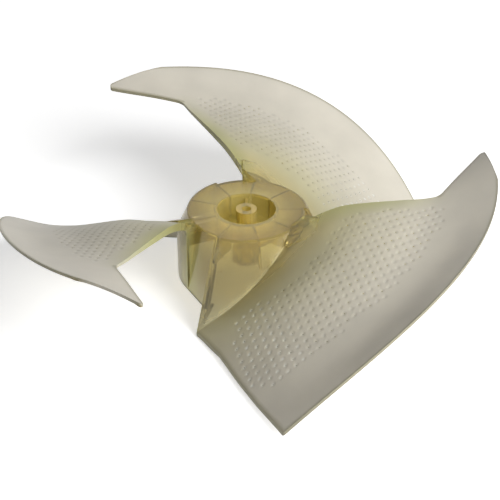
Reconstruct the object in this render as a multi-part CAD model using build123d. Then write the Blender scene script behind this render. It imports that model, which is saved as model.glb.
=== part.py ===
from build123d import *
from math import cos, hypot, radians, sin
import os

# Three-blade axial fan impeller for an air-conditioner condenser, one resin moulding.
# Millimetres and degrees. Z is the shaft axis, and Z = 0 is the top face of the hub and its boss.
# Azimuths are those of the blade that points along +X; the others follow at the blade pitch.

# Impeller
BLADE_COUNT = 3
PITCH = 360 / BLADE_COUNT
TIP_RADIUS = 200.5
BLADE_THICKNESS = 2.4
WALL = 2.8

# Hub: a top plate whose rim flares down to each blade root, hollow and open below
RIM_RADIUS = 48.2
RIM_LOBE = 2.8            # how much further out the rim stands at the end of a flank
RIM_BEVEL = 1.2
FLANK_SLOPE = 0.449       # outward run of a flank for each unit of depth
FLANK_START = -26.0       # azimuth where a flank leaves the leading edge
FLANK_END = -118.5        # azimuth of the step from a flank back to the bay behind it
LOBE_START = -54.0
FLANK_POINTS = 13         # places along a flank where its foot is worked out
SKIRT_RADIUS = 58.0       # upright wall under the blades
SKIRT_DEPTH = 59.4
SKIRT_END = -72.0         # azimuth where the upright wall ends, inside the flank
BAY_FOOT_RADIUS = 68.4    # foot of the bay wall beside the step
END_TRIM = 3.0            # degrees that a step wall takes from the hollow
FORM_DEPTH = 80.0         # flanks are drawn down to here and then trimmed by the blades
BELOW_ALL = -100.0        # lower than anything in the moulding
ABOVE_ALL = 60.0          # and higher

# Recess for the shaft nut, with the boss standing in it
RECESS_RADIUS = 24.5
RECESS_DEPTH = 20.0
RECESS_WALL = 2.2
BOSS_RADIUS = 8.8
BOSS_FOOT_RADIUS = 11.8
BOSS_DEPTH = 48.6
BORE_RADIUS = 4.0         # plain bore, a slide fit on the shaft
FIN_THICKNESS = 2.0       # fin from the boss to the wall of the recess
FIN_BITE = 1.0            # how far it runs into both
FIN_TOP = -4.7
FIN_AZIMUTH = 90.0

# Ribs under the top plate
RIB_COUNT = 9
RIB_AZIMUTH = -118.0
RIB_THICKNESS = 1.8
RIB_DEPTH = 23.0

# Blade sections: radius, azimuth and height of the leading edge, azimuth and height of the
# trailing edge, then the share of the fall taken linearly and as the square of the chord
SECTIONS = [
    (50.0, -30.0, 1.5, -148.0, -75.0, 0.54, 1.07),
    (65.0, -21.7, 11.0, -134.0, -74.0, 0.54, 1.07),
    (80.0, -17.1, 16.9, -122.0, -73.2, 0.41, 1.17),
    (100.0, -13.2, 19.8, -106.0, -71.7, 0.18, 1.12),
    (125.0, -10.1, 21.8, -95.6, -70.6, 0.14, 1.00),
    (150.0, -8.2, 24.1, -89.8, -70.1, 0.21, 0.77),
    (175.0, -7.1, 31.8, -85.6, -69.8, 0.31, 0.42),
    (201.0, -6.5, 41.9, -82.1, -68.7, 0.33, -0.12),
]
NOSE_DROOP = 2.8          # how fast the pointed tip ahead of the leading edge bends down
RADIUS_SPAN = (44.0, 206.0)
GRID_ROWS = 19
CHORD_SPAN = (-0.26, 1.06)
GRID_COLUMNS = 41

# Blade outline in plan
LEADING_EDGE = [(51.4, -25.2), (74.8, -23.4), (154.5, -21.4)]
HORN_AZIMUTH = 10.3       # the pointed tip, ahead of the leading edge
HORN_BACK_AZIMUTH = -6.5
TAIL_AZIMUTH = -82.1      # where the tip arc ends and the trailing edge begins
TRAILING_EDGE = [(8.6, -164.9), (-2.5, -143.5), (-20.5, -105.6), (-39.9, -73.5)]
ROOT_BITE = 2.0           # how far the blade is set into the wall of the hub
PLATE_BITE = 1.5          # and into the edge of the top plate
PLATE_AZIMUTHS = (-28.0, -40.0)   # stretch where the blade's root lies against the plate
ROOT_START = -52.0        # azimuth from which it follows the foot of the flank
ROOT_OVERRUN = 1.2        # degrees by which it stops short of the step
ROOT_POINTS = 9
SHOULDER_ROUND = 10.0
TIP_ROUND = 2.5

# The blade is thicker along its leading edge, less so towards the tip
EDGE_EXTRA = [(50.0, 4.2), (95.0, 3.2), (150.0, 0.0)]   # distance from the axis, extra thickness
EDGE_CORE = 1.0           # width of the full extra thickness behind the edge
EDGE_FADE = 14.0          # width over which it fades into the blade

# Gusset on each leading-edge root: a block with a sloping top, (radius, azimuth) in plan
GUSSET_PLAN = [(46.5, -36.0), (53.0, -26.5), (64.5, -27.0), (70.4, -38.0), (55.6, -54.0), (46.5, -52.0)]
GUSSET_TOP = [(48.2, -36.0, 2.8), (64.5, -27.0, 10.3), (70.4, -38.0, 3.7)]
GUSSET_FOOT = -20.0


def polar(radius, azimuth, z=0.0):
    """Point at a radius and azimuth."""
    return Vector(radius * cos(radians(azimuth)), radius * sin(radians(azimuth)), z)


def section_value(column, radius):
    """One column of the blade sections at any radius, by a smooth cubic through the stations."""
    stations = [row[0] for row in SECTIONS]
    values = [row[column] for row in SECTIONS]
    last = len(stations) - 1
    i = max(0, min(last - 1, sum(station < radius for station in stations) - 1))

    def slope(k):
        before, after = max(k - 1, 0), min(k + 1, last)
        return (values[after] - values[before]) / (stations[after] - stations[before])

    run = stations[i + 1] - stations[i]
    t = (radius - stations[i]) / run
    rise = (2 * t**3 - 3 * t**2 + 1) * values[i] + (3 * t**2 - 2 * t**3) * values[i + 1]
    return rise + run * ((t**3 - 2 * t**2 + t) * slope(i) + (t**3 - t**2) * slope(i + 1))


def blade_height(radius, azimuth):
    """Height of the blade's upper surface."""
    lead, lead_z, trail, trail_z, linear, square = (section_value(c, radius) for c in range(1, 7))
    chord = (lead - azimuth) / (lead - trail)
    fall = linear * chord + square * chord**2 + (1 - linear - square) * chord**3
    return lead_z - (lead_z - trail_z) * (fall + NOSE_DROOP * min(chord, 0) ** 2)


def blade_point(radius, azimuth):
    """Point on the blade's upper surface."""
    return polar(radius, azimuth, blade_height(radius, azimuth))


def blade_normal(radius, azimuth):
    """Upward normal of the blade's upper surface."""
    step = 0.2
    outward = blade_point(radius + step, azimuth) - blade_point(radius - step, azimuth)
    turn = blade_point(radius, azimuth + step) - blade_point(radius, azimuth - step)
    return outward.cross(turn).normalized()


def thickness(radius, azimuth):
    """Thickness of the blade at a place, greater along the leading edge."""
    if azimuth < LOBE_START:
        return BLADE_THICKNESS
    x, y = radius * cos(radians(azimuth)), radius * sin(radians(azimuth))
    (x0, y0), (x1, y1), _ = LEADING_EDGE
    behind = max(0.0, y0 + (y1 - y0) * (x - x0) / (x1 - x0) - y - EDGE_CORE)
    fade = max(0.0, 1 - behind / EDGE_FADE)
    spans = zip(EDGE_EXTRA, EDGE_EXTRA[1:])
    extra = EDGE_EXTRA[0][1] if x < EDGE_EXTRA[0][0] else 0.0
    for (start, thick), (end, thin) in spans:
        if start <= x < end:
            extra = thick + (thin - thick) * (x - start) / (end - start)
    return BLADE_THICKNESS + extra * fade**2 * (3 - 2 * fade)


def blade_sheet(shift):
    """Face through the blade's surface, each point moved by shift(radius, azimuth)."""
    chords = spread(*CHORD_SPAN, GRID_COLUMNS)
    rows = []
    for radius in spread(*RADIUS_SPAN, GRID_ROWS):
        lead, trail = section_value(1, radius), section_value(3, radius)
        row = []
        for chord in chords:
            azimuth = lead + (trail - lead) * chord
            row.append(blade_point(radius, azimuth) + shift(radius, azimuth))
        rows.append(row)
    return Face.make_surface_from_array_of_points(rows, tol=0.01, min_deg=3, max_deg=3)


def slab_between(upper, lower):
    """Solid between two sheets of the same shape, closed by ruled sides."""
    sides = []
    for edge in upper.edges():
        mate = lower.edges().sort_by(lambda other: (other.center() - edge.center()).length)[0]
        sides.append(Face.make_surface_from_curves(edge, mate))
    return Solid(Shell([upper, lower, *sides]))


def below_blade(gap):
    """Everything under the blade's upper surface lowered by a gap."""
    return slab_between(
        blade_sheet(lambda radius, azimuth: Vector(0, 0, -gap)),
        blade_sheet(lambda radius, azimuth: Vector(0, 0, -2 * FORM_DEPTH)),
    )


def flank_radius(azimuth, depth):
    """Outer radius of a flank at a depth under the top face."""
    share = (LOBE_START - azimuth) / (LOBE_START - FLANK_END)
    return RIM_RADIUS + RIM_LOBE * min(max(share, 0), 1) + FLANK_SLOPE * depth


def root_radius(azimuth):
    """Radius where a flank meets the blade's upper surface."""
    radius = RIM_RADIUS
    for _ in range(40):
        depth = max(0.0, -blade_height(radius, azimuth))
        radius = 0.5 * (radius + flank_radius(azimuth, depth))
    return radius


def spread(start, end, count):
    """Evenly spaced values from start to end."""
    return [start + (end - start) * i / (count - 1) for i in range(count)]


def blade_outline():
    """Plan of one blade, from inside the hub wall out to the tip arc and back."""
    tail = polar(TIP_RADIUS, TAIL_AZIMUTH)
    horn = polar(TIP_RADIUS, HORN_AZIMUTH)
    horn_back = polar(TIP_RADIUS, HORN_BACK_AZIMUTH)
    middle = polar(TIP_RADIUS, (HORN_BACK_AZIMUTH + TAIL_AZIMUTH) / 2)
    root = [polar(RIM_RADIUS - PLATE_BITE, a) for a in PLATE_AZIMUTHS]
    foot = spread(ROOT_START, FLANK_END + ROOT_OVERRUN, ROOT_POINTS)
    root += [polar(root_radius(a) - ROOT_BITE, a) for a in foot]
    outer = Polyline(root[0], *LEADING_EDGE, horn, horn_back)
    arc = ThreePointArc(horn_back, middle, tail)
    inner = Polyline(tail, *TRAILING_EDGE, root[-1])
    plan = make_face(Wire([*outer.edges(), arc, *inner.edges(), *Spline(*reversed(root)).edges()]))
    sharp = [Vector(*LEADING_EDGE[2])]
    plan = fillet(near(plan.vertices(), sharp), SHOULDER_ROUND)
    return fillet(near(plan.vertices(), [horn, horn_back, tail]), TIP_ROUND)


def near(vertices, points):
    """Those vertices that lie on one of the points, in plan."""
    return [v for v in vertices if any(hypot(v.X - p.X, v.Y - p.Y) < 0.01 for p in points)]


def prism(plan, bottom, top):
    """Upright prism on a plan drawn at Z = 0."""
    return Pos(0, 0, bottom) * extrude(plan, amount=top - bottom, dir=(0, 0, 1))


def gusset():
    """Block that ties the leading edge to the rim, with a sloping top."""
    plan = make_face(Polyline(*[polar(*corner) for corner in GUSSET_PLAN], close=True))
    corners = [polar(*corner) for corner in GUSSET_TOP]
    normal = (corners[1] - corners[0]).cross(corners[2] - corners[0])
    slope = Plane(corners[0], z_dir=normal if normal.Z > 0 else -normal)
    block = split(prism(plan, GUSSET_FOOT, ABOVE_ALL), bisect_by=slope, keep=Keep.BOTTOM)
    return block - below_blade(BLADE_THICKNESS / 2)


def blade():
    """One blade, along +X."""
    skin = slab_between(
        blade_sheet(lambda radius, azimuth: Vector(0, 0, 0)),
        blade_sheet(lambda radius, azimuth: blade_normal(radius, azimuth) * -thickness(radius, azimuth)),
    )
    return skin & prism(blade_outline(), BELOW_ALL, ABOVE_ALL)


def sector(azimuths, radii, z):
    """Slice from the axis out to an arc through three points."""
    start, middle, end = (polar(r, a, z) for r, a in zip(radii, azimuths))
    axis = Vector(0, 0, z)
    return make_face(Wire([*Line(axis, start).edges(), *ThreePointArc(start, middle, end).edges(),
                           *Line(end, axis).edges()]))


def bevel_rim(form):
    """The form with the outer edge of its top face bevelled."""
    rim = [edge for edge in form.edges() if abs((edge @ 0.5).Z) < 0.01
           and hypot((edge @ 0.5).X, (edge @ 0.5).Y) > RIM_RADIUS - WALL]
    return chamfer(rim, RIM_BEVEL)


def flank_form(inset, trim, top):
    """Flared body of one flank, inset by a wall, with its ends trimmed in azimuth."""
    start, end = FLANK_START - trim, FLANK_END + trim
    azimuths = (start, (start + end) / 2, end)
    faces = [sector(azimuths, [flank_radius(a, depth) - inset for a in azimuths], -depth)
             for depth in (top, FORM_DEPTH)]
    flare = loft(faces, ruled=True) if inset else bevel_rim(loft(faces, ruled=True))
    turn = [a for a in spread(start, end, FLANK_POINTS) if root_radius(a) > SKIRT_RADIUS]
    rim = [polar(SKIRT_RADIUS - inset, start), polar(SKIRT_RADIUS - inset, (start + turn[0]) / 2)]
    skirt = ThreePointArc(rim[0], rim[1], polar(SKIRT_RADIUS - inset, turn[0]))
    root = Spline(*[polar(max(root_radius(a), SKIRT_RADIUS) - inset, a) for a in turn])
    joint = Line(skirt @ 1, root @ 0) if ((skirt @ 1) - (root @ 0)).length > 1e-4 else None
    axis = Vector(0, 0, 0)
    edges = [*Line(axis, skirt @ 0).edges(), *skirt.edges(), *(joint.edges() if joint else []),
             *root.edges(), *Line(root @ 1, axis).edges()]
    return flare & prism(make_face(Wire(edges)), -FORM_DEPTH, 0)


def bay_form(inset, reach, top):
    """Wall between two flanks: round at the rim, straight at its foot."""
    start, end = FLANK_END + reach, FLANK_START - PITCH - reach
    rim = sector((start, (start + end) / 2, end), (RIM_RADIUS - inset,) * 3, -top)
    near_step = polar(BAY_FOOT_RADIUS - inset, FLANK_END, -SKIRT_DEPTH)
    near_skirt = polar(SKIRT_RADIUS - inset, FLANK_START - PITCH, -SKIRT_DEPTH)
    overrun = (near_step - near_skirt).normalized() * reach
    axis = Vector(0, 0, -SKIRT_DEPTH)
    foot = make_face(Polyline(axis, near_step + overrun, near_skirt - overrun, close=True))
    return loft([rim, foot], ruled=True) if inset else bevel_rim(loft([rim, foot], ruled=True))


def skirt_form(inset, trim, gap):
    """Upright wall under the leading edge, up to a gap below the blade's upper surface."""
    start, end = FLANK_START - trim, SKIRT_END + trim
    radius = SKIRT_RADIUS - inset
    slice_plan = sector((start, (start + end) / 2, end), (radius,) * 3, 0)
    return prism(slice_plan, -SKIRT_DEPTH, ABOVE_ALL) & below_blade(gap)


def around(shape):
    """Copies of a shape at the pitch of the blades."""
    return [Rot(0, 0, PITCH * i) * shape for i in range(BLADE_COUNT)]


def disc(radius, bottom, top):
    """Upright round bar on the axis."""
    return Pos(0, 0, bottom) * Cylinder(radius, top - bottom, align=(Align.CENTER, Align.CENTER, Align.MIN))


def outer_form():
    """Solid outer shape of the hub, before it is hollowed."""
    flank = flank_form(0, 0, 0)
    tail = flank & disc(2 * SKIRT_RADIUS, -FORM_DEPTH, -SKIRT_DEPTH)
    tail -= disc(SKIRT_RADIUS, -FORM_DEPTH, -SKIRT_DEPTH)
    tail -= below_blade(BLADE_THICKNESS / 2)
    flank &= disc(2 * SKIRT_RADIUS, -SKIRT_DEPTH, 0)
    lobe = flank + tail + bay_form(0, 0, 0) + skirt_form(0, 0, BLADE_THICKNESS / 2)
    form = disc(RIM_RADIUS - WALL, -SKIRT_DEPTH, 0)
    for copy in around(lobe):
        form += copy
    return form


def cavity_form():
    """Hollow under the top plate, open below."""
    flank = flank_form(WALL, END_TRIM, WALL)
    lobe = flank + bay_form(WALL, 2 * END_TRIM, WALL) + skirt_form(WALL, END_TRIM, 2 * BLADE_THICKNESS)
    form = disc(RIM_RADIUS - WALL, -FORM_DEPTH, -WALL)
    for copy in around(lobe):
        form += copy
    return form


def ribs(envelope):
    """Radial ribs from the recess to the outer wall."""
    plate = Pos(RIM_RADIUS, 0, -RIB_DEPTH / 2) * Box(RIM_RADIUS, RIB_THICKNESS, RIB_DEPTH)
    return [Rot(0, 0, RIB_AZIMUTH + 360 / RIB_COUNT * i) * plate & envelope for i in range(RIB_COUNT)]


def recess_and_boss(hub):
    """The hub with its nut recess cut, and the bored boss and its fin set in it."""
    hub += disc(RECESS_RADIUS + RECESS_WALL, -RECESS_DEPTH - RECESS_WALL, 0)
    hub -= disc(RECESS_RADIUS, -RECESS_DEPTH, RECESS_WALL)
    hub += disc(BOSS_FOOT_RADIUS, -BOSS_DEPTH, -RECESS_DEPTH) + disc(BOSS_RADIUS, -RECESS_DEPTH, 0)
    fin = Box(RECESS_RADIUS - BOSS_RADIUS + 2 * FIN_BITE, FIN_THICKNESS, RECESS_DEPTH + FIN_TOP)
    middle = Pos((BOSS_RADIUS + RECESS_RADIUS) / 2, 0, (FIN_TOP - RECESS_DEPTH) / 2)
    hub += Rot(0, 0, FIN_AZIMUTH) * middle * fin
    return hub - disc(BORE_RADIUS, -BOSS_DEPTH, 0)


def impeller():
    """The whole moulding."""
    outer = outer_form()
    hub = outer - cavity_form()
    for rib in ribs(outer):
        hub += rib
    for copy in [*around(blade()), *around(gusset())]:
        hub += copy
    return recess_and_boss(hub)


os.makedirs("parts", exist_ok=True)
export_step(impeller(), "parts/impeller.step")
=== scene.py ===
"""Looks of the axial fan impeller: dimpled translucent blades, hub, studio and camera."""
from math import cos, radians, sin

import bmesh
import bpy
import numpy as np
from mathutils import Matrix, Vector


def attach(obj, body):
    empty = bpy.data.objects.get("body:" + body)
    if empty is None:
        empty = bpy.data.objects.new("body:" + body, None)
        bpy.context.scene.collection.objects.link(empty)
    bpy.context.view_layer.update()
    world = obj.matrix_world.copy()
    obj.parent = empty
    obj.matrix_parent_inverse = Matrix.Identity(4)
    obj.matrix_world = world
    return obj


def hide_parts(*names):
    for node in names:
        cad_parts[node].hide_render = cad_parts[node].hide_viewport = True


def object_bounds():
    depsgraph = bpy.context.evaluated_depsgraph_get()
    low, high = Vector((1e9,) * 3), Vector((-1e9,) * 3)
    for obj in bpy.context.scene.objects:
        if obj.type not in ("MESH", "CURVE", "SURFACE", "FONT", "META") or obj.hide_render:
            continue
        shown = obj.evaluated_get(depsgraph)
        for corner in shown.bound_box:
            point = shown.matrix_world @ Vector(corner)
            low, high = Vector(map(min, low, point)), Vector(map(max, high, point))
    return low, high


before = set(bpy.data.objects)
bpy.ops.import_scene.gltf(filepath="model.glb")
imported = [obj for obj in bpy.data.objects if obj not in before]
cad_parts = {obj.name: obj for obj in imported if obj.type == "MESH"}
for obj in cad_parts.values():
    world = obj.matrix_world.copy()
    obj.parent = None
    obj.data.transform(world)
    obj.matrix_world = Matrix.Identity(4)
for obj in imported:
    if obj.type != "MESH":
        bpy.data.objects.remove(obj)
CAD_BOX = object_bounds()

MM = 0.001
WHITE = (1, 1, 1, 1)

# Blade surface, as the model has it: radius, azimuth and height of the leading edge, azimuth and
# height of the trailing edge, and the linear and square shares of the fall (mm, degrees)
SECTIONS = np.array([
    (50.0, -30.0, 1.5, -148.0, -75.0, 0.54, 1.07),
    (65.0, -21.7, 11.0, -134.0, -74.0, 0.54, 1.07),
    (80.0, -17.1, 16.9, -122.0, -73.2, 0.41, 1.17),
    (100.0, -13.2, 19.8, -106.0, -71.7, 0.18, 1.12),
    (125.0, -10.1, 21.8, -95.6, -70.6, 0.14, 1.00),
    (150.0, -8.2, 24.1, -89.8, -70.1, 0.21, 0.77),
    (175.0, -7.1, 31.8, -85.6, -69.8, 0.31, 0.42),
    (201.0, -6.5, 41.9, -82.1, -68.7, 0.33, -0.12),
])
NOSE_DROOP = 2.8
BLADE_THICKNESS = 2.4
EDGE_EXTRA = [(50.0, 4.2), (95.0, 3.2), (150.0, 0.0)]   # distance out, extra thickness at the leading edge
EDGE_CORE = 1.0           # width of the full extra thickness behind the edge
EDGE_FADE = 14.0          # width over which it fades out
EDGE_END = -54.0          # azimuth behind which there is none
BLADE_COUNT = 3
PITCH = 360 / BLADE_COUNT

# Blade outline in plan (mm)
TIP_RADIUS = 200.5
LEADING_EDGE = [(46.0, -25.6), (51.4, -25.2), (74.8, -23.4), (154.5, -21.4), (197.3, 35.9)]
TRAILING_EDGE = [(27.6, -198.6), (8.6, -164.9), (-2.5, -143.5), (-20.5, -105.6), (-39.9, -73.5)]

# Dimples: an oblique lattice in plan, pressed a little way into the upper face (mm)
DIMPLE_ORIGIN = (6.9, -134.1)
DIMPLE_ALONG = (7.7, -4.08)
DIMPLE_ACROSS = (-2.0, 6.15)
DIMPLE_RADIUS = 2.3
DIMPLE_DEPTH = 0.42
# Edge of the dimpled field in plan
DIMPLE_FIELD = [(3, -150), (22, -160), (62, -143), (100, -124), (130, -95), (152, -58),
                (158, -40), (150, -34), (105, -33), (84, -36), (66, -46), (62, -60),
                (44, -74), (12, -84), (-12, -92), (-6, -122)]

# Mesh refinement: longest edges on the blades, and what counts as a blade's face (mm)
COARSE_EDGE = 6.0         # in the open
RIM_EDGE = 3.0            # along the thin edges of the upper face
FINE_EDGE = 1.3           # at the dimples
SKIN_BAND = 0.4           # how near the formula a point lies to count as part of a blade's face
SKIN_START = 49.0         # distance from the axis where a blade's face begins
BLADE_SPAN = (-120, 14)   # azimuths between which the blade along +X lies
NORMAL_STEP = 0.2         # half the width over which a slope is measured
LOWER_ROUNDS = 3          # steps from a point to its place on the lower face
WELD_GAP = 0.000005       # points nearer than this become one (metres)
SHARP_ANGLE = 32          # edges that turn by more degrees stay sharp

# Resin: linear colours of the hub by depth, and colours, clarity and roughness of the blades by
# distance from the shaft (mm)
HUB_DEPTH = [-75, -58, -40, -22, -6, 0]
HUB_COLOURS = [(0.54, 0.51, 0.33), (0.50, 0.46, 0.28), (0.42, 0.36, 0.17),
               (0.44, 0.37, 0.16), (0.60, 0.50, 0.18), (0.69, 0.56, 0.17)]
HUB_CLARITY = 0.80
WELL_RADIUS = 26.8        # recess, with the boss in it
# painted light: the recess and the boss in it are coloured bright amber for the light that comes through
# the hub
WELL_PAINTED_LIGHT = (0.95, 0.83, 0.34)
HUB_ROUGHNESS = 0.15
BLADE_REACH = [50, 62, 85, 115, 150, 201]
BLADE_COLOURS = [(0.62, 0.52, 0.24), (0.62, 0.54, 0.26), (0.63, 0.59, 0.39), (0.68, 0.64, 0.51),
                 (0.73, 0.69, 0.59), (0.75, 0.71, 0.62)]
BLADE_CLARITY = [0.65, 0.58, 0.40, 0.25, 0.22, 0.22]
BLADE_ROUGHNESS = [0.22, 0.26, 0.34, 0.40, 0.42, 0.42]
RESIN_ABSORPTION = (0.90, 0.78, 0.35)
RESIN_DENSITY = 30.0
RESIN_IOR = 1.57
RESIN_SPECULAR = 0.12
RIM_COLOUR = (0.26, 0.24, 0.12)       # thin outer edge of a blade, where light has a long way through
RIM_WIDTH = 2.5
RIM_SHARE = 0.7
LEAD_COLOUR = (0.52, 0.52, 0.22)      # thickened leading edge
LEAD_WIDTH = 15.0
LEAD_SHARE = 0.75
LEAD_END = 165.0                      # distance out where it has faded
LEAD_FADE = 60.0
PAINTED_GLINT_COLOUR = (0.95, 0.94, 0.88)     # painted highlight: a bright glint on the floor of the dimples by the trailing edge
PAINTED_GLINT_RADIUS = 1.0
PAINTED_GLINT_SPREAD = 1.5                    # radii from a dimple's centre where it ends
PAINTED_GLINT_REACH = (30.0, 55.0)            # distances from the trailing edge where it is full and where it ends
PAINTED_GLINT_SHARE = 0.9
HOLLOW_SHADE = 0.90                   # painted shade: what is left of the colour in the middle of a dimple
CLOUD_SCALE = 22.0                    # faint clouds in the resin, in waves per metre
CLOUD_DETAIL = 4
CLOUD_DEPTH = 0.16

# Camera, fitted to the view: lens and sensor in millimetres, angles in degrees, places in metres
CAMERA_LENS = 90.19
CAMERA_SENSOR = 36
CAMERA_RANGE = 100
CAMERA_DISTANCE = 1.0333
CAMERA_ELEVATION = 33.274
CAMERA_ROLL = -0.20
CAMERA_ACROSS = 0.003144
CAMERA_UP = 0.03417

# Studio: metres, watts and linear colours
FLOOR_SIZE = 14.0
FLOOR_COLOUR = (0.93, 0.93, 0.93)
FLOOR_ROUGHNESS = 0.9
FLOOR_GLOW = 0.55         # what the floor adds to what the camera sees, so that it is white
FAR_GLOW = 1.0            # the same far from the object, where the lamp is weak
FAR_START = 0.45          # distances between which one turns into the other
FAR_END = 1.6
WORLD_LIGHT = 0.10
LAMP_PLACE = (1.25, -1.0, 1.2)
LAMP_SIZE = 1.3
LAMP_POWER = 50


def section_value(column, radius):
    """One column of the blade sections at any radius, by a smooth cubic through the stations."""
    stations, values = SECTIONS[:, 0], SECTIONS[:, column]
    slope = np.empty_like(values)
    slope[1:-1] = (values[2:] - values[:-2]) / (stations[2:] - stations[:-2])
    slope[0] = (values[1] - values[0]) / (stations[1] - stations[0])
    slope[-1] = (values[-1] - values[-2]) / (stations[-1] - stations[-2])
    i = np.clip(np.searchsorted(stations, radius) - 1, 0, len(stations) - 2)
    run = stations[i + 1] - stations[i]
    t = (radius - stations[i]) / run
    rise = (2 * t**3 - 3 * t**2 + 1) * values[i] + (3 * t**2 - 2 * t**3) * values[i + 1]
    return rise + run * ((t**3 - 2 * t**2 + t) * slope[i] + (t**3 - t**2) * slope[i + 1])


def blade_height(x, y):
    """Height of the upper face of the blade along +X, over a point in plan."""
    radius = np.hypot(x, y)
    azimuth = np.degrees(np.arctan2(y, x))
    lead, lead_z, trail, trail_z, linear, square = (section_value(c, radius) for c in range(1, 7))
    chord = (lead - azimuth) / (lead - trail)
    fall = linear * chord + square * chord**2 + (1 - linear - square) * chord**3
    return lead_z - (lead_z - trail_z) * (fall + NOSE_DROOP * np.minimum(chord, 0) ** 2)


def blade_normal(x, y):
    """Upward unit normal of the upper face over points in plan."""
    step = NORMAL_STEP
    dx = (blade_height(x + step, y) - blade_height(x - step, y)) / (2 * step)
    dy = (blade_height(x, y + step) - blade_height(x, y - step)) / (2 * step)
    normal = np.stack([-dx, -dy, np.ones_like(dx)], axis=-1)
    return normal / np.linalg.norm(normal, axis=-1, keepdims=True)


def thickness(x, y):
    """Thickness of the blade along +X over points in plan."""
    (x0, y0), (x1, y1) = LEADING_EDGE[1], LEADING_EDGE[2]
    behind = np.maximum(y0 + (y1 - y0) * (x - x0) / (x1 - x0) - y - EDGE_CORE, 0)
    fade = np.maximum(1 - behind / EDGE_FADE, 0) * (np.degrees(np.arctan2(y, x)) > EDGE_END)
    return BLADE_THICKNESS + np.interp(x, *zip(*EDGE_EXTRA)) * fade**2 * (3 - 2 * fade)


def turned(points, degrees):
    """Points turned about the shaft axis."""
    c, s = cos(radians(degrees)), sin(radians(degrees))
    return points @ np.array([[c, s, 0], [-s, c, 0], [0, 0, 1]])


def read_mesh(node):
    """Vertices in millimetres and triangles of a CAD node."""
    data = bpy.data.meshes.new_from_object(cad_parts[node])
    bm = bmesh.new()
    bm.from_mesh(data)
    bmesh.ops.remove_doubles(bm, verts=bm.verts, dist=WELD_GAP)
    bmesh.ops.triangulate(bm, faces=bm.faces)
    bm.verts.index_update()
    points = np.array([v.co[:] for v in bm.verts]) / MM
    faces = np.array([[v.index for v in f.verts] for f in bm.faces])
    bm.free()
    return points, faces


def split_long(points, faces):
    """Halves every edge that is too long, so that neighbours still share their edges."""
    while True:
        edges = np.concatenate([faces[:, [0, 1]], faces[:, [1, 2]], faces[:, [2, 0]]])
        edges.sort(axis=1)
        pairs, of_face = np.unique(edges, axis=0, return_inverse=True)
        of_face = of_face.reshape(3, -1).T
        ends = points[pairs]
        length = np.linalg.norm(ends[:, 0] - ends[:, 1], axis=1)
        cut = too_long(ends.mean(axis=1), length)
        if not cut.any():
            return points, faces
        fresh = np.full(len(pairs), -1)
        fresh[cut] = len(points) + np.arange(cut.sum())
        points = np.concatenate([points, ends[cut].mean(axis=1)])
        middle = fresh[of_face]
        faces = split_faces(points, faces, middle)


def spans(points, starts, ends):
    """Distances between points given by index."""
    return np.linalg.norm(points[starts] - points[ends], axis=1)


def split_faces(points, faces, middle):
    """New triangles for faces whose edges have a middle point, given as an index or -1."""
    count = (middle >= 0).sum(axis=1)
    out = [faces[count == 0]]
    whole, mid = faces[count == 3], middle[count == 3]
    for trio in ((whole[:, 0], mid[:, 0], mid[:, 2]), (mid[:, 0], whole[:, 1], mid[:, 1]),
                 (mid[:, 2], mid[:, 1], whole[:, 2]), (mid[:, 0], mid[:, 1], mid[:, 2])):
        out.append(np.stack(trio, axis=1))
    for turn in range(3):
        a, b, c = faces[:, turn], faces[:, (turn + 1) % 3], faces[:, (turn + 2) % 3]
        ab, bc, ca = middle[:, turn], middle[:, (turn + 1) % 3], middle[:, (turn + 2) % 3]
        one = (count == 1) & (ab >= 0)
        out.append(np.stack([a[one], ab[one], c[one]], axis=1))
        out.append(np.stack([ab[one], b[one], c[one]], axis=1))
        two = (count == 2) & (ca < 0)
        a, b, c, ab, bc = (side[two] for side in (a, b, c, ab, bc))
        out.append(np.stack([ab, b, bc], axis=1))
        shorter = (spans(points, ab, c) < spans(points, a, bc))[:, None]
        out.append(np.where(shorter, np.stack([a, ab, c], axis=1), np.stack([a, ab, bc], axis=1)))
        out.append(np.where(shorter, np.stack([ab, bc, c], axis=1), np.stack([a, bc, c], axis=1)))
    return np.concatenate(out)


def inside(outline, x, y):
    """Which plan points lie inside an outline."""
    hit = np.zeros(x.shape, bool)
    for (x0, y0), (x1, y1) in zip(outline, outline[1:] + outline[:1]):
        if y0 != y1:
            hit ^= ((y0 > y) != (y1 > y)) & (x < (x1 - x0) * (y - y0) / (y1 - y0) + x0)
    return hit


def dimple_distance(x, y):
    """Distance in plan from points to the nearest dimple centre of the field."""
    step = np.array([DIMPLE_ALONG, DIMPLE_ACROSS])
    offset = np.stack([x - DIMPLE_ORIGIN[0], y - DIMPLE_ORIGIN[1]], axis=-1)
    whole = np.floor(offset @ np.linalg.inv(step))
    nearest = np.full(x.shape, np.inf)
    for shift in ((0, 0), (1, 0), (0, 1), (1, 1)):
        centre = (whole + shift) @ step
        cx, cy = centre[..., 0] + DIMPLE_ORIGIN[0], centre[..., 1] + DIMPLE_ORIGIN[1]
        gap = np.hypot(x - cx, y - cy)
        nearest = np.where(inside(DIMPLE_FIELD, cx, cy), np.minimum(nearest, gap), nearest)
    return nearest


def blade_frames(points):
    """For each blade: its turn, and the points turned back to the blade along +X."""
    for number in range(BLADE_COUNT):
        yield number * PITCH, turned(points, -number * PITCH)


def beside_blade(local):
    """Which turned-back points are within the reach of the blade along +X, in plan."""
    x, y = local[:, 0], local[:, 1]
    azimuth = np.degrees(np.arctan2(y, x))
    return (np.hypot(x, y) > SKIN_START) & (azimuth < BLADE_SPAN[1]) & (azimuth > BLADE_SPAN[0])


def on_upper_face(local):
    """Which turned-back points lie on the upper face of the blade along +X."""
    x, y = local[:, 0], local[:, 1]
    gap = (local[:, 2] - blade_height(x, y)) * blade_normal(x, y)[:, 2]
    return (np.abs(gap) < SKIN_BAND) & beside_blade(local)


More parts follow.
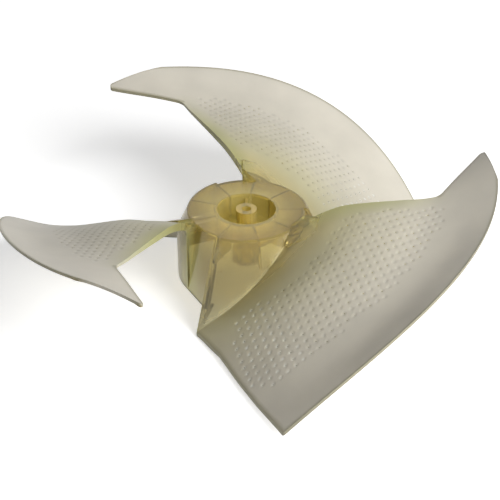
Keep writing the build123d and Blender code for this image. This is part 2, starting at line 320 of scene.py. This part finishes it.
def lower_place(local):
    """Nearest place on the lower face of the blade along +X, and which points lie on that face."""
    x, y = local[:, 0], local[:, 1]
    for _ in range(LOWER_ROUNDS):
        shift = blade_normal(x, y) * thickness(x, y)[:, None]
        x, y = local[:, 0] + shift[:, 0], local[:, 1] + shift[:, 1]
    place = np.stack([x, y, blade_height(x, y)], axis=-1) - shift
    return place, (np.abs(place[:, 2] - local[:, 2]) < SKIN_BAND) & beside_blade(local)


def outline_distance(x, y):
    """Distance in plan from points to the thin edges of the blade along +X."""
    gap = np.minimum(TIP_RADIUS - np.hypot(x, y), line_distance(LEADING_EDGE[-2:], x, y))
    return np.minimum(gap, line_distance(TRAILING_EDGE, x, y))


def too_long(middle, length):
    """Which edges are longer than their place allows."""
    cut = np.zeros(len(middle), bool)
    for _, local in blade_frames(middle):
        pick = np.flatnonzero((length > FINE_EDGE) & beside_blade(local))
        place, size = local[pick], length[pick]
        upper = on_upper_face(place)
        spot = dimple_distance(place[:, 0], place[:, 1])
        gap = outline_distance(place[:, 0], place[:, 1])
        target = np.where(gap < RIM_WIDTH + size / 2, RIM_EDGE, COARSE_EDGE)
        target = np.where(spot < DIMPLE_RADIUS + size / 2, FINE_EDGE, target)
        long = upper & (size > target)
        rest = np.flatnonzero(~upper & (size > COARSE_EDGE))
        long[rest] = lower_place(place[rest])[1]
        cut[pick] |= long
    return cut


def press_dimples(points):
    """Points of the blades put on the exact surfaces and pressed in at the dimples of the upper one."""
    moved = points.copy()
    for turn, local in blade_frames(points):
        skin = on_upper_face(local)
        x, y = local[skin, 0], local[skin, 1]
        normal = blade_normal(x, y)
        spot = np.minimum(dimple_distance(x, y) / DIMPLE_RADIUS, 1)
        depth = DIMPLE_DEPTH * (1 - spot**2) ** 2
        surface = np.stack([x, y, blade_height(x, y)], axis=-1) - normal * depth[:, None]
        moved[skin] = turned(surface, turn)
        place, under = lower_place(local)
        under &= ~skin
        moved[under] = turned(place[under], turn)
    low, high = np.array([corner[:] for corner in CAD_BOX]) / MM
    return np.clip(moved, low, high)


def line_distance(line, x, y):
    """Distance in plan from points to a line of straight runs."""
    nearest = np.full(x.shape, np.inf)
    for (x0, y0), (x1, y1) in zip(line, line[1:]):
        run = np.array([x1 - x0, y1 - y0])
        along = np.clip(((x - x0) * run[0] + (y - y0) * run[1]) / (run @ run), 0, 1)
        nearest = np.minimum(nearest, np.hypot(x - x0 - along * run[0], y - y0 - along * run[1]))
    return nearest


def blend(colours, target, share):
    """Colours moved towards a target by a share each."""
    return colours + (np.array(target) - colours) * share[:, None]


def by_place(place, stops, values):
    """Values between stops, for numbers or colours."""
    if np.ndim(values[0]) == 0:
        return np.interp(place, stops, values)
    return np.stack([np.interp(place, stops, channel) for channel in zip(*values)], axis=-1)


def on_blades(points):
    """Which points lie on a face of a blade."""
    skin = np.zeros(len(points), bool)
    for _, local in blade_frames(points):
        skin |= on_upper_face(local) | lower_place(local)[1]
    return skin


def tint(points, skin):
    """Linear colour of the resin at each point, with painted light in the recess, painted shade in the
    dimples and painted glints by the trailing edge.
    """
    reach = np.hypot(points[:, 0], points[:, 1])
    hub = by_place(points[:, 2], HUB_DEPTH, HUB_COLOURS)
    # painted light: the recess and the boss are made bright amber
    hub = blend(hub, WELL_PAINTED_LIGHT, (reach < WELL_RADIUS) * 1.0)
    colours = np.where(skin[:, None], by_place(reach, BLADE_REACH, BLADE_COLOURS), hub)
    for _, local in blade_frames(points):
        x, y = local[:, 0], local[:, 1]
        upper = on_upper_face(local)
        own = beside_blade(local)
        lead = line_distance(LEADING_EDGE[:-1], x, y)
        near_lead = LEAD_SHARE * np.clip(1 - lead / LEAD_WIDTH, 0, 1)
        colours = blend(colours, LEAD_COLOUR, near_lead * np.clip((LEAD_END - x) / LEAD_FADE, 0, 1) * own)
        spot = dimple_distance(x, y)
        # painted shade: darker in the middle of each dimple
        hollow = np.clip(1 - (spot / DIMPLE_RADIUS) ** 2, 0, 1) * upper
        colours = colours * (1 - (1 - HOLLOW_SHADE) * hollow)[:, None]
        # painted highlight: bright glints in the dimples near the trailing edge
        painted_glint = np.interp(line_distance(TRAILING_EDGE, x, y), PAINTED_GLINT_REACH, (PAINTED_GLINT_SHARE, 0))
        painted_glint = painted_glint * np.clip(PAINTED_GLINT_SPREAD - spot / PAINTED_GLINT_RADIUS, 0, 1) * upper
        colours = blend(colours, PAINTED_GLINT_COLOUR, painted_glint)
        rim = RIM_SHARE * np.clip(1 - outline_distance(x, y) / RIM_WIDTH, 0, 1) * own
        colours = blend(colours, RIM_COLOUR, rim)
    return colours


def paint(mesh, name, values):
    """Colour attribute on the points of a mesh."""
    layer = mesh.color_attributes.new(name, "FLOAT_COLOR", "POINT")
    layer.data.foreach_set("color", np.column_stack([values, np.ones(len(values))]).ravel())


def maths(nodes, links, kind, *terms):
    """Maths node on two or three sockets or numbers."""
    node = nodes.new("ShaderNodeMath")
    node.operation = kind
    for socket, term in zip(node.inputs, terms):
        if isinstance(term, (int, float)):
            socket.default_value = term
        else:
            links.new(term, socket)
    return node.outputs["Value"]


def noise(nodes, links, place, scale, detail):
    """Noise value at a place, with the scale in waves per metre."""
    node = nodes.new("ShaderNodeTexNoise")
    node.inputs["Scale"].default_value = scale
    node.inputs["Detail"].default_value = detail
    links.new(place, node.inputs["Vector"])
    return node.outputs["Fac"]


def resin():
    """Translucent straw-coloured styrene resin: amber and clearer at the hub, milky in the blades."""
    material = bpy.data.materials.new("resin")
    material.use_nodes = True
    nodes, links = material.node_tree.nodes, material.node_tree.links
    shader = nodes["Principled BSDF"]
    tinted = nodes.new("ShaderNodeVertexColor")
    tinted.layer_name = "tint"
    finish = nodes.new("ShaderNodeVertexColor")
    finish.layer_name = "finish"
    split = nodes.new("ShaderNodeSeparateColor")
    links.new(finish.outputs["Color"], split.inputs["Color"])
    place = nodes.new("ShaderNodeTexCoord").outputs["Object"]
    cloud = noise(nodes, links, place, CLOUD_SCALE, CLOUD_DETAIL)
    shade = maths(nodes, links, "MULTIPLY_ADD", cloud, 2 * CLOUD_DEPTH, 1 - CLOUD_DEPTH)
    clouded = nodes.new("ShaderNodeVectorMath")
    clouded.operation = "SCALE"
    links.new(tinted.outputs["Color"], clouded.inputs["Vector"])
    links.new(shade, clouded.inputs["Scale"])
    links.new(clouded.outputs["Vector"], shader.inputs["Base Color"])
    links.new(split.outputs["Red"], shader.inputs["Transmission Weight"])
    links.new(split.outputs["Green"], shader.inputs["Roughness"])
    shader.inputs["IOR"].default_value = RESIN_IOR
    shader.inputs["Specular IOR Level"].default_value = RESIN_SPECULAR
    depth = nodes.new("ShaderNodeVolumeAbsorption")
    depth.inputs["Color"].default_value = (*RESIN_ABSORPTION, 1)
    depth.inputs["Density"].default_value = RESIN_DENSITY
    links.new(depth.outputs["Volume"], nodes["Material Output"].inputs["Volume"])
    return material


def build_impeller():
    """The dimpled moulding that stands for the CAD solid."""
    points, faces = read_mesh("impeller")
    points, faces = split_long(points, faces)
    points = press_dimples(points)
    mesh = bpy.data.meshes.new("impeller_moulding")
    mesh.from_pydata((points * MM).tolist(), [], faces.tolist())
    mesh.polygons.foreach_set("use_smooth", np.ones(len(mesh.polygons), bool))
    mesh.set_sharp_from_angle(angle=radians(SHARP_ANGLE))
    skin = on_blades(points)
    reach = np.hypot(points[:, 0], points[:, 1])
    clarity = np.where(skin, by_place(reach, BLADE_REACH, BLADE_CLARITY), HUB_CLARITY)
    roughness = np.where(skin, by_place(reach, BLADE_REACH, BLADE_ROUGHNESS), HUB_ROUGHNESS)
    paint(mesh, "tint", tint(points, skin))
    paint(mesh, "finish", np.column_stack([clarity, roughness, np.zeros(len(points))]))
    mesh.materials.append(resin())
    piece = bpy.data.objects.new("impeller_moulding", mesh)
    bpy.context.scene.collection.objects.link(piece)
    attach(piece, "root")
    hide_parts("impeller")


def build_camera():
    """Camera at the fitted place."""
    tilt = radians(CAMERA_ELEVATION)
    right = Vector((1, 0, 0))
    up = Vector((0, sin(tilt), cos(tilt)))
    back = Vector((0, -cos(tilt), sin(tilt)))
    data = bpy.data.cameras.new("camera")
    data.lens = CAMERA_LENS
    data.sensor_width = CAMERA_SENSOR
    data.clip_end = CAMERA_RANGE
    camera = bpy.data.objects.new("camera", data)
    bpy.context.scene.collection.objects.link(camera)
    turn = Matrix((right, up, back)).transposed() @ Matrix.Rotation(radians(-CAMERA_ROLL), 3, "Z")
    camera.matrix_world = turn.to_4x4()
    camera.location = right * CAMERA_ACROSS - up * CAMERA_UP + back * CAMERA_DISTANCE
    bpy.context.scene.camera = camera


def build_lamp():
    """Soft square lamp to the right, aimed at the middle of the hub."""
    data = bpy.data.lights.new("key", "AREA")
    data.shape = "SQUARE"
    data.size = LAMP_SIZE
    data.energy = LAMP_POWER
    lamp = bpy.data.objects.new("key", data)
    lamp.location = LAMP_PLACE
    lamp.rotation_euler = (-Vector(LAMP_PLACE)).to_track_quat("-Z", "Y").to_euler()
    bpy.context.scene.collection.objects.link(lamp)


def seen(nodes, links):
    """1 for what the camera sees, also reflected or through the resin, and 0 for light on the object."""
    path = nodes.new("ShaderNodeLightPath")
    either = maths(nodes, links, "MAXIMUM", path.outputs["Is Camera Ray"], path.outputs["Is Glossy Ray"])
    return maths(nodes, links, "MAXIMUM", either, path.outputs["Is Transmission Ray"])


def build_floor():
    """White floor that keeps the shadow."""
    bpy.ops.mesh.primitive_plane_add(size=FLOOR_SIZE, location=(0, 0, CAD_BOX[0][2]))
    floor = bpy.context.object
    floor.name = "floor"
    material = bpy.data.materials.new("floor")
    material.use_nodes = True
    nodes, links = material.node_tree.nodes, material.node_tree.links
    shader = nodes["Principled BSDF"]
    shader.inputs["Base Color"].default_value = (*FLOOR_COLOUR, 1)
    shader.inputs["Roughness"].default_value = FLOOR_ROUGHNESS
    shader.inputs["Emission Color"].default_value = WHITE
    place = nodes.new("ShaderNodeTexCoord").outputs["Object"]
    length = nodes.new("ShaderNodeVectorMath")
    length.operation = "LENGTH"
    links.new(place, length.inputs[0])
    rise = nodes.new("ShaderNodeMapRange")
    links.new(length.outputs["Value"], rise.inputs["Value"])
    limits = {"From Min": FAR_START, "From Max": FAR_END, "To Min": FLOOR_GLOW, "To Max": FAR_GLOW}
    for socket, value in limits.items():
        rise.inputs[socket].default_value = value
    glow = maths(nodes, links, "MULTIPLY", seen(nodes, links), rise.outputs["Result"])
    links.new(glow, shader.inputs["Emission Strength"])
    floor.data.materials.append(material)


def build_world():
    """Even pale light that shows white."""
    world = bpy.data.worlds.new("studio")
    bpy.context.scene.world = world
    world.use_nodes = True
    nodes, links = world.node_tree.nodes, world.node_tree.links
    strength = maths(nodes, links, "MULTIPLY_ADD", seen(nodes, links), 1 - WORLD_LIGHT, WORLD_LIGHT)
    nodes["Background"].inputs["Color"].default_value = WHITE
    links.new(strength, nodes["Background"].inputs["Strength"])


bpy.context.scene.view_settings.view_transform = "Standard"
build_impeller()
build_camera()
build_floor()
build_world()
build_lamp()
bpy.context.view_layer.update()
